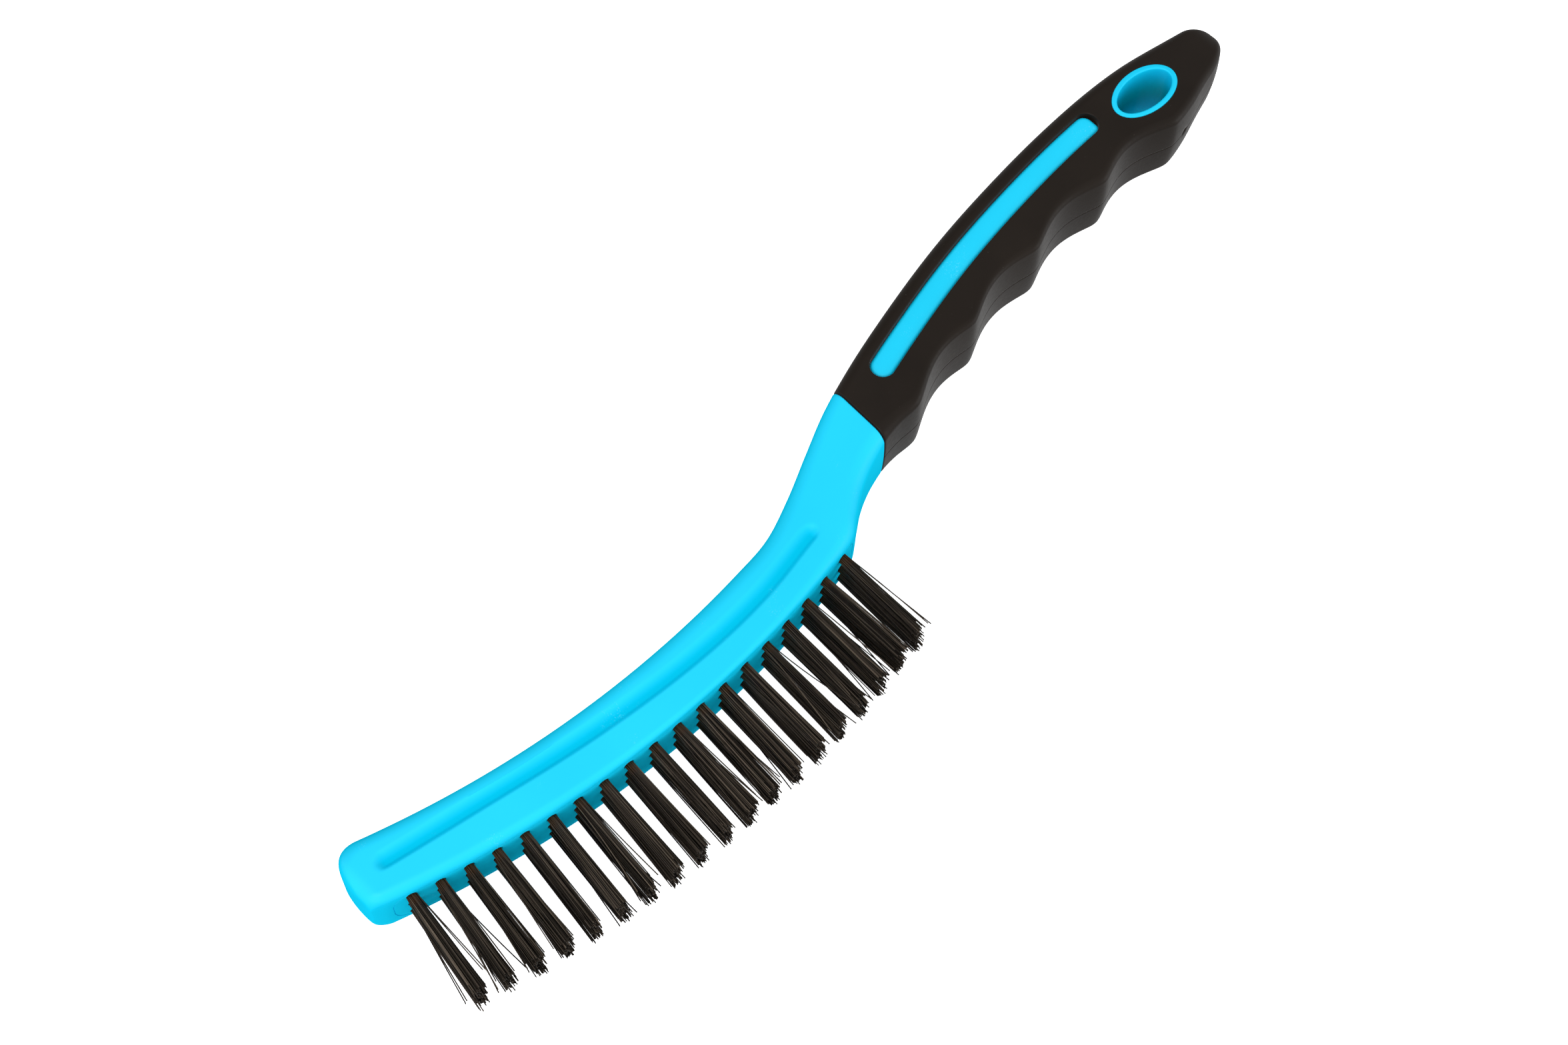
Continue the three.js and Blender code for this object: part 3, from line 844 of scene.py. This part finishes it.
def mark_painted_shade(core):
    """Stores which points lie in the channel or the eyelet, as masks for the plastic's painted shade
    there.
    """
    design = mesh_points(core)
    on_side = np.abs(design[:, 2]) > HEAD_HALF_WIDTH - CHANNEL_DEPTH - 0.2
    on_side &= (design[:, 0] > CHANNEL_START_X - 5) & (design[:, 0] < CHANNEL_END_X + 5)
    painted_channel_shade = np.zeros(len(design))
    # mask of the channel's painted shade
    painted_channel_shade[on_side] = channel_share(design[on_side])
    add_attribute(core, "painted_channel_shade", painted_channel_shade)
    turned = design[:, :2] - (EYELET_X, EYELET_Y)
    reach = np.hypot(turned[:, 0] / EYELET_A, turned[:, 1] / EYELET_B)
    below_rim = half_width(design[:, 0]) - np.abs(design[:, 2])
    # painted shade inside the eyelet, from light at the rim to dark deeper down
    add_attribute(core, "painted_bore_shade", (reach < 1.15) * soft_step(below_rim, BORE_SHADE_START, BORE_SHADE_END))


def handle_core():
    core = head_and_neck()
    combine(core, tang(0, "tang"), "UNION")
    combine(core, slot_ribs(), "UNION")
    combine(core, eyelet_sleeve(), "UNION")
    combine(core, eye(), "DIFFERENCE")
    combine(core, tuft_holes(), "DIFFERENCE")
    combine(core, insert_groove(), "DIFFERENCE")
    mark_painted_shade(core)
    smooth_shade(core, SHARP_ANGLE)
    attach(core, "root")
    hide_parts("handle_core")


# ------------------------------------------------------------------ soft grip


def slot_room():
    """Cutter for the window. Below a ledge it fits the rib closely."""
    ledge = [(LEDGE_DEPTH, slot_window(0)), (LEDGE_DEPTH, rib_outline(LEDGE_PLAY))]
    return outline_prism("slot", rim(slot_window, 0.35) + ledge)


def soft_grip():
    start = COLLAR_X + GAP + COLLAR_EDGE
    points = skin(stations(start, OVERALL_LENGTH, RING_STEP, end_fine=END_FINE))
    add_parting_line(points)
    add_notch(points)
    end = rounded_rings(points[0], COLLAR_EDGE, -1)[::-1]
    grip = loft("soft_grip_overmould", np.concatenate([end, points]), [rubber])
    combine(grip, tang(GAP, "tang_room"), "DIFFERENCE")
    combine(grip, slot_room(), "DIFFERENCE")
    combine(grip, outline_prism("seat", rim(eyelet_seat, 0.2)), "DIFFERENCE")
    smooth_shade(grip, SHARP_ANGLE)
    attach(grip, "root")
    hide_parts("grip")


# ------------------------------------------------------------------ wires

WIRES = 38
WIRE_RADIUS = 0.17
WIRE_SIDES = 6
WIRE_RINGS = 9
WIRE_START = 5
WIRE_BOW = 0.07
TIP_SPREAD, TIP_LEAN, STRAY_SPREAD = 0.22, 0.3, 1.5
TRIM_SPREAD, SHORT_SHARE, SHORT_BY = 0.55, 0.12, 2.2
STRAY_SHARE = 0.05
WIRE_SHARP_ANGLE = 65
# Tips of single wires that stand apart: along the head, across it, and length beyond the trim, mm.
STRAYS = {
    (2, 0): [(-4.6, 0.3, 1.0), (-4.0, 0.6, 0.6), (4.2, 0.4, -3.2), (3.5, 0.8, -3.6)],
    (2, 1): [(-4.4, 0.5, 1.6)],
    (2, 2): [(-3.8, 0.4, 0.7), (-3.4, 0.6, -0.6)],
    (2, 3): [(-3.9, 0.3, -0.5)],
    (2, 6): [(3.4, 0.4, -1.2)],
    (2, 10): [(-3.2, 0.5, 0.4), (3.0, 0.2, -2.0)],
    (2, 16): [(3.4, 0.3, 0.5)],
    (2, 18): [(3.0, 0.6, 0.9), (2.4, 1.0, 0.4)],
}


def bundle_spots(rng, count, radius):
    """Evenly filled disc of wire centres, each moved a little."""
    i = np.arange(count) + 0.5
    r = radius * np.sqrt(i / count)
    a = i * math.pi * (3 - math.sqrt(5)) + rng.uniform(0, 2 * math.pi)
    spots = np.column_stack([r * np.cos(a), r * np.sin(a)])
    return spots + rng.normal(0, 0.03, spots.shape)


def wire_lines(rng, trim, strays):
    """Centre lines of a tuft's wires in its own axes, y up into the hole, and their free shares."""
    roots = bundle_spots(rng, WIRES, TUFT_ROOT_RADIUS - WIRE_RADIUS)
    tips = roots * rng.uniform(1.15, 1.55)
    tips = tips + rng.normal(0, TIP_SPREAD, roots.shape) + rng.normal(0, TIP_LEAN, 2)
    stray = rng.random(WIRES) < STRAY_SHARE
    tips[stray] += rng.normal(0, STRAY_SPREAD, (stray.sum(), 2))
    lengths = trim + rng.normal(0, TRIM_SPREAD, WIRES)
    lengths -= SHORT_BY * (rng.random(WIRES) < SHORT_SHARE)
    bend = np.where(stray, rng.uniform(1, 1.5, WIRES), 1)
    for k, (along_mm, across_mm, extra) in enumerate(strays):
        tips[k] = along_mm, across_mm
        roots[k] = tips[k] / np.linalg.norm(tips[k]) * (TUFT_ROOT_RADIUS - WIRE_RADIUS)
        lengths[k] = trim + extra
        bend[k] = 1
    bow = rng.normal(0, WIRE_BOW, roots.shape)
    depth = WIRE_START - np.linspace(0, 1, WIRE_RINGS) * (WIRE_START + lengths[:, None])
    free = np.clip(-depth / lengths[:, None], 0, 1)
    across = (
        roots[:, None]
        + (tips - roots)[:, None] * (free ** bend[:, None])[..., None]
        + bow[:, None] * np.sin(np.pi * free)[..., None]
    )
    return np.stack([across[..., 0], depth, across[..., 1]], -1), free


def wire_tuft(row, column):
    """One tuft of separate wires. The last face of each wire is its cut end."""
    rng = np.random.default_rng(1000 * row + column)
    place, lean = tuft_place(row, column)
    trim = along_head(TRIM_FIRST, TRIM_LAST, column)
    lines, free = wire_lines(rng, trim, STRAYS.get((row, column), []))
    turn = rng.uniform(0, math.pi / 3, WIRES)
    angles = turn[:, None] + np.linspace(0, 2 * math.pi, WIRE_SIDES, endpoint=False)
    circle = WIRE_RADIUS * np.stack([np.cos(angles), 0 * angles, np.sin(angles)], -1)
    points = lines[:, :, None] + circle[:, None]
    one_wire = grid_faces(WIRE_RINGS, WIRE_SIDES)
    size = WIRE_RINGS * WIRE_SIDES
    faces = [[v + k * size for v in face] for k in range(WIRES) for face in one_wire]
    name = f"r{row + 1}_c{column + 1:02d}"
    design = tuft_to_design(points, place, lean).reshape(-1, 3)
    tuft = mesh_object(f"wires_{name}", design, faces, [steel, cut_end])
    face_out(tuft)
    for k in range(WIRES):
        tuft.data.polygons[(k + 1) * len(one_wire) - 1].material_index = 1
    add_attribute(tuft, "tone", np.repeat(rng.beta(1.1, 3.0, WIRES), size))
    add_attribute(tuft, "along", np.repeat(free.reshape(-1), WIRE_SIDES))
    smooth_shade(tuft, WIRE_SHARP_ANGLE)
    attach(tuft, "root")
    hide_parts(f"tuft_{name}")


# ------------------------------------------------------------------ camera, floor and light


# How the surrounding light falls off: a direction, two heights along it, and the strength at each.
BELOW = ((0, 0, 1), (-0.7, -0.1, 0.25, 1.08))
PAST_TAIL = ((0.7, 0.7, 0), (0.45, 0.7, 1, 0.35))
FLOOR_REACH, FLOOR_HEIGHT = 6, -0.0004
SOFTBOX_WIDTH = 1.1
SOFTBOXES = {
    "key": ((-0.8, -0.35, 1.2), 7.6),
    "fill_on_neck": ((1.0, -1.3, 0.15), 5.5),
    "fill_on_toe": ((-1.4, -0.7, 0.2), 4),
}


def add_camera():
    """The camera of the reference view, placed in design coordinates."""
    right = Vector((0.67896, -0.73385, 0.02211))
    down = Vector((-0.66090, -0.62402, -0.41691))
    forward = Vector((0.31974, 0.26846, -0.90868))
    data = bpy.data.cameras.new("camera")
    data.lens = 65.33
    data.sensor_width = 36
    data.clip_end = 20
    camera = bpy.data.objects.new("camera", data)
    axes = Matrix((right, -down, -forward)).transposed().to_4x4()
    axes.translation = Vector(to_row((-92.43, -182.25, 691.38)))
    camera.matrix_world = axes
    bpy.context.scene.collection.objects.link(camera)
    bpy.context.scene.camera = camera


def add_floor():
    """A wide white light table. It is seen from above only."""
    mesh = bpy.data.meshes.new("floor")
    corners = [
        (x * FLOOR_REACH, y * FLOOR_REACH, FLOOR_HEIGHT)
        for x, y in ((-1, -1), (1, -1), (1, 1), (-1, 1))
    ]
    mesh.from_pydata(corners, [], [(0, 1, 2, 3)])
    material = bpy.data.materials.new("white_table")
    material.use_nodes = True
    tree = material.node_tree
    shader = tree.nodes["Principled BSDF"]
    shader.inputs["Base Color"].default_value = (0.8, 0.8, 0.8, 1)
    shader.inputs["Roughness"].default_value = 0.8
    shader.inputs["Emission Color"].default_value = (1, 1, 1, 1)
    shader.inputs["Emission Strength"].default_value = 1
    geometry = tree.nodes.new("ShaderNodeNewGeometry")
    clear = tree.nodes.new("ShaderNodeBsdfTransparent")
    chooser = tree.nodes.new("ShaderNodeMixShader")
    tree.links.new(geometry.outputs["Backfacing"], chooser.inputs[0])
    tree.links.new(shader.outputs[0], chooser.inputs[1])
    tree.links.new(clear.outputs[0], chooser.inputs[2])
    tree.links.new(chooser.outputs[0], tree.nodes["Material Output"].inputs["Surface"])
    mesh.materials.append(material)
    floor = bpy.data.objects.new("floor", mesh)
    bpy.context.scene.collection.objects.link(floor)
    floor.visible_diffuse = False
    floor.visible_glossy = False


def add_world():
    """Even light from above and all round, dimmer from straight below and past the tail."""
    world = bpy.data.worlds.new("studio")
    bpy.context.scene.world = world
    world.use_nodes = True
    tree = world.node_tree
    background = tree.nodes["Background"]
    background.inputs["Color"].default_value = (1, 1, 1, 1)
    coordinates = tree.nodes.new("ShaderNodeTexCoord")
    product = tree.nodes.new("ShaderNodeMath")
    product.operation = "MULTIPLY"
    for k, (direction, numbers) in enumerate((BELOW, PAST_TAIL)):
        height = tree.nodes.new("ShaderNodeVectorMath")
        height.operation = "DOT_PRODUCT"
        height.inputs[1].default_value = direction
        ramp = tree.nodes.new("ShaderNodeMapRange")
        for socket, number in zip(LOW_TO_HIGH, numbers):
            ramp.inputs[socket].default_value = number
        tree.links.new(coordinates.outputs["Generated"], height.inputs[0])
        tree.links.new(height.outputs["Value"], ramp.inputs["Value"])
        tree.links.new(ramp.outputs["Result"], product.inputs[k])
    tree.links.new(product.outputs[0], background.inputs["Strength"])


def add_softbox(name, place, watts):
    """A round soft light that faces the brush."""
    data = bpy.data.lights.new(name, "AREA")
    data.shape = "DISK"
    data.size = SOFTBOX_WIDTH
    data.energy = watts
    light = bpy.data.objects.new(name, data)
    light.location = place
    light.rotation_mode = "QUATERNION"
    light.rotation_quaternion = (-Vector(place)).to_track_quat("-Z", "Y")
    bpy.context.scene.collection.objects.link(light)


# ------------------------------------------------------------------ build

scene = bpy.context.scene
scene.view_settings.view_transform = "Standard"

add_camera()
add_floor()
add_world()
for box_name, (box_place, box_watts) in SOFTBOXES.items():
    add_softbox(box_name, box_place, box_watts)

cyan = cyan_plastic()
rubber = soft_rubber()
steel = wire_steel()
cut_end = cut_steel()

handle_core()
soft_grip()
for tuft_row in range(ROWS):
    for tuft_column in range(COLUMNS):
        wire_tuft(tuft_row, tuft_column)
